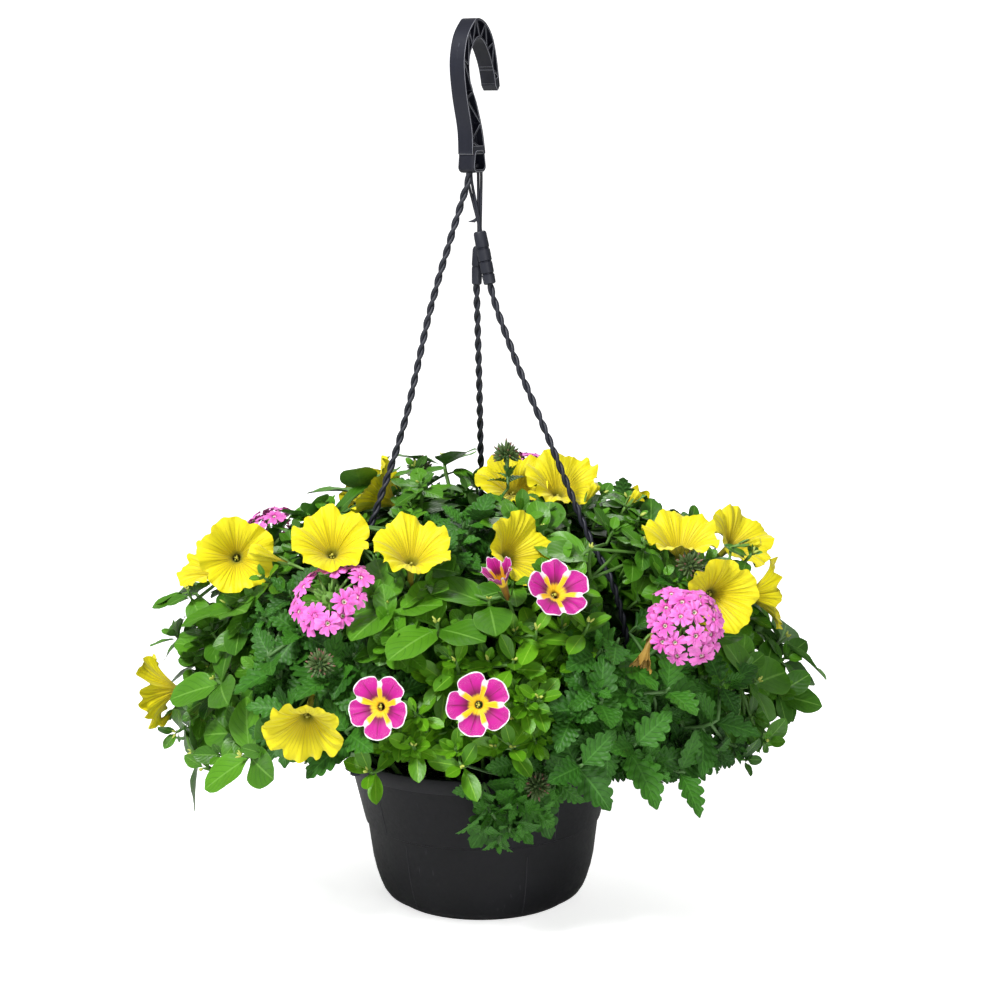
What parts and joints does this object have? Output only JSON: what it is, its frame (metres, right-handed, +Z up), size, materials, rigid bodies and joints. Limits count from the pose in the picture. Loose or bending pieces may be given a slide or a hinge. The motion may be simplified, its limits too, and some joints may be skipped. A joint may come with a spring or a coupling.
{
  "type": "hanging basket",
  "caption": "Hanging basket: a round plastic pot on twisted strands and a ribbed hook, planted with yellow petunias, pink verbena and striped calibrachoa.",
  "frame": {"origin": "the saddle under the crown of the hook, where a bracket or rail carries the basket", "axes": "+Z up along the hanging line, -Y towards the side that the picture shows, +X to the right in the picture"},
  "size_m": [0.5706, 0.4744, 0.7332],
  "materials": {
    "pot_plastic": "matte charcoal black moulded plastic",
    "hanger_plastic": "satin black moulded plastic",
    "soil": "damp dark brown potting mix",
    "petunia_leaf": "mid green, faintly downy leaf and stem",
    "verbena_leaf": "deep green, toothed and veined leaf",
    "calibrachoa_leaf": "bright yellow-green smooth small leaf",
    "yellow_petal": "soft yellow petal with green-yellow veins",
    "pink_petal": "soft orchid pink petal",
    "striped_petal": "velvety magenta petal with a white edge and a yellow star"
  },
  "bodies": {
    "root": {"strand_left": "hanger_plastic", "strand_right": "hanger_plastic", "strand_back": "hanger_plastic", "pot": "pot_plastic", "hook": "hanger_plastic", "strand_clip": "hanger_plastic", "petunia_bloom_01": "yellow_petal", "petunia_bloom_02": "yellow_petal", "petunia_bloom_03": "yellow_petal", "petunia_bloom_04": "yellow_petal", "petunia_bloom_05": "yellow_petal", "petunia_bloom_06": "yellow_petal", "petunia_bloom_07": "yellow_petal", "petunia_bloom_08": "yellow_petal", "petunia_bloom_09": "yellow_petal", "petunia_bloom_10": "yellow_petal", "petunia_bloom_11": "yellow_petal", "petunia_bloom_12": "yellow_petal", "petunia_bloom_13": "yellow_petal", "petunia_bloom_14": "yellow_petal", "petunia_bloom_15": "yellow_petal", "petunia_bloom_16": "yellow_petal", "petunia_bloom_17": "yellow_petal", "striped_bloom_01": "striped_petal", "striped_bloom_02": "striped_petal", "striped_bloom_03": "striped_petal", "striped_bloom_04": "striped_petal", "striped_bloom_05": "striped_petal", "verbena_head_01": "pink_petal", "verbena_head_02": "pink_petal", "verbena_head_03": "pink_petal", "verbena_head_04": "pink_petal", "verbena_stem_05": "verbena_leaf", "verbena_stem_07": "verbena_leaf", "verbena_stem_01": "verbena_leaf", "verbena_stem_09": "verbena_leaf", "petunia_stem_01": "petunia_leaf", "petunia_stem_02": "petunia_leaf", "petunia_stem_03": "petunia_leaf", "petunia_stem_04": "petunia_leaf", "petunia_stem_05": "petunia_leaf", "petunia_stem_06": "petunia_leaf", "petunia_stem_07": "petunia_leaf", "petunia_stem_08": "petunia_leaf", "petunia_stem_09": "petunia_leaf", "petunia_stem_10": "petunia_leaf", "petunia_stem_11": "petunia_leaf", "verbena_stem_02": "verbena_leaf", "verbena_stem_03": "verbena_leaf", "verbena_stem_04": "verbena_leaf", "verbena_stem_06": "verbena_leaf", "verbena_stem_08": "verbena_leaf", "calibrachoa_stem_01": "calibrachoa_leaf", "calibrachoa_stem_02": "calibrachoa_leaf", "calibrachoa_stem_03": "calibrachoa_leaf", "calibrachoa_stem_04": "calibrachoa_leaf", "calibrachoa_stem_05": "calibrachoa_leaf", "calibrachoa_stem_06": "calibrachoa_leaf", "soil": "soil"}
  },
  "joints": []
}
